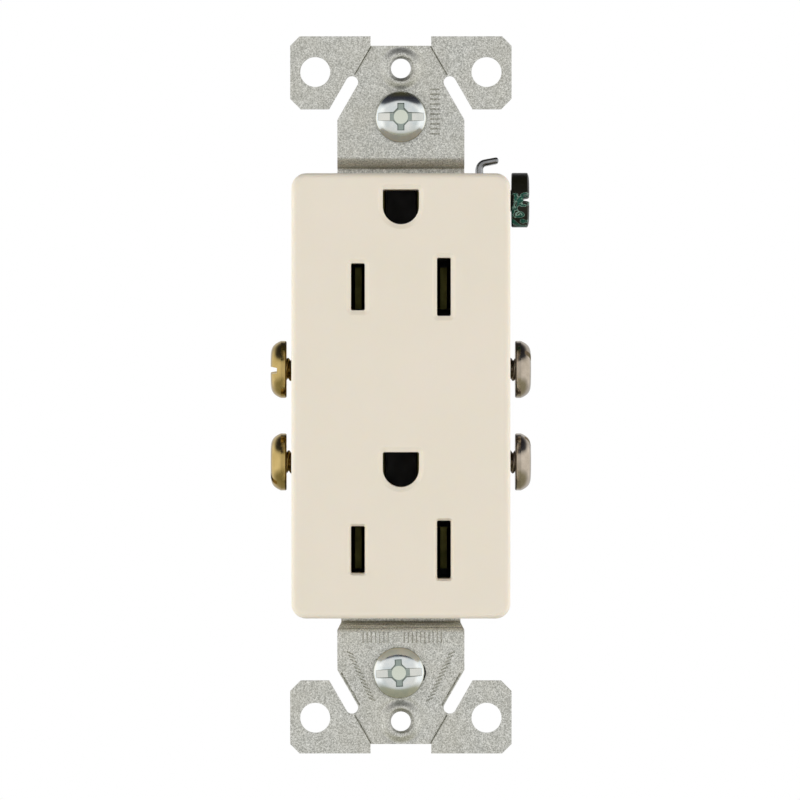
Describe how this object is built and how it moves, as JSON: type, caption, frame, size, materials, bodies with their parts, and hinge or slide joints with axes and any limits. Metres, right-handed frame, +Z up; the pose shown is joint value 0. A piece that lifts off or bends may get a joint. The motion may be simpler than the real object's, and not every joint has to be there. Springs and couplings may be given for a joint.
{
  "type": "duplex wall outlet",
  "caption": "Rectangular-face duplex wall receptacle on a steel mounting strap, with side screw terminals, push-in terminals and a grounding screw.",
  "frame": {"origin": "centre of the four ear holes, on the back plane of the strap's ears, where the device meets the wall or box", "axes": "+X to the right seen from the front, +Y into the wall, +Z up along the strap, with the ground holes above the blade slots"},
  "size_m": [0.0388, 0.031, 0.1064],
  "materials": {
    "face_plastic": "smooth semi-matte light almond",
    "base_plastic": "matte black thermoplastic",
    "strap_steel": "galvanised, fine grain",
    "contact_brass": "rolled strip",
    "terminal_brass": "plated brass, polished",
    "terminal_silver": "nickel-plated, warm",
    "ground_green": "dark green lacquer on steel",
    "screw_zinc": "clear zinc plate",
    "spring_steel": "dark zinc",
    "fibre": "pressed fibre board"
  },
  "bodies": {
    "device": {"face_cover": "face_plastic", "base_housing": "base_plastic", "mounting_strap": "strap_steel", "hot_contact_strip": "contact_brass", "neutral_contact_strip": "terminal_silver", "ground_contact_strip": "contact_brass", "ground_terminal_bracket": "spring_steel", "wire_clip_hot_upper": "spring_steel", "wire_clip_hot_lower": "spring_steel", "wire_clip_neutral_upper": "spring_steel", "wire_clip_neutral_lower": "spring_steel", "assembly_screw_upper": "screw_zinc", "assembly_screw_lower": "screw_zinc", "ground_strip_rivet_upper": "contact_brass", "ground_strip_rivet_lower": "contact_brass", "ground_bracket_rivet": "spring_steel"},
    "terminal_screw_hot_upper": {"terminal_screw_hot_upper": "terminal_brass"},
    "terminal_screw_hot_lower": {"terminal_screw_hot_lower": "terminal_brass"},
    "terminal_screw_neutral_upper": {"terminal_screw_neutral_upper": "terminal_silver"},
    "terminal_screw_neutral_lower": {"terminal_screw_neutral_lower": "terminal_silver"},
    "ground_screw": {"ground_screw": "ground_green"},
    "screw_retainer_upper": {"screw_retainer_upper": "fibre"},
    "screw_retainer_lower": {"screw_retainer_lower": "fibre"},
    "mounting_screw_upper": {"mounting_screw_upper": "screw_zinc"},
    "mounting_screw_lower": {"mounting_screw_lower": "screw_zinc"}
  },
  "joints": [
    {"name": "hot_upper_screw_turn", "type": "hinge", "parent": "device", "child": "terminal_screw_hot_upper", "pos_m": [-0.01705, 0.0095, 0.0038], "axis": [1, 0, 0], "range_deg": [0, 990]},
    {"name": "hot_lower_screw_turn", "type": "hinge", "parent": "device", "child": "terminal_screw_hot_lower", "pos_m": [-0.01705, 0.0095, -0.01], "axis": [1, 0, 0], "range_deg": [0, 990]},
    {"name": "neutral_upper_screw_turn", "type": "hinge", "parent": "device", "child": "terminal_screw_neutral_upper", "pos_m": [0.01705, 0.0095, 0.0038], "axis": [-1, 0, 0], "range_deg": [0, 990]},
    {"name": "neutral_lower_screw_turn", "type": "hinge", "parent": "device", "child": "terminal_screw_neutral_lower", "pos_m": [0.01705, 0.0095, -0.01], "axis": [-1, 0, 0], "range_deg": [0, 990]},
    {"name": "ground_screw_turn", "type": "hinge", "parent": "device", "child": "ground_screw", "pos_m": [0.0165, 0.0095, 0.02908], "axis": [-1, 0, 0], "range_deg": [0, 1530]},
    {"name": "upper_retainer_slide", "type": "slide", "parent": "device", "child": "screw_retainer_upper", "axis": [1, 0, 0], "range_m": [-0.0019, 0.0019]},
    {"name": "lower_retainer_slide", "type": "slide", "parent": "device", "child": "screw_retainer_lower", "axis": [1, 0, 0], "range_m": [-0.0016, 0.0022]},
    {"name": "mounting_screw_upper_turn", "type": "hinge", "parent": "screw_retainer_upper", "child": "mounting_screw_upper", "pos_m": [0, 0, 0.0412], "axis": [0, 1, 0], "continuous": true},
    {"name": "mounting_screw_lower_turn", "type": "hinge", "parent": "screw_retainer_lower", "child": "mounting_screw_lower", "pos_m": [-0.0003, 0, -0.0412], "axis": [0, 1, 0], "continuous": true}
  ]
}
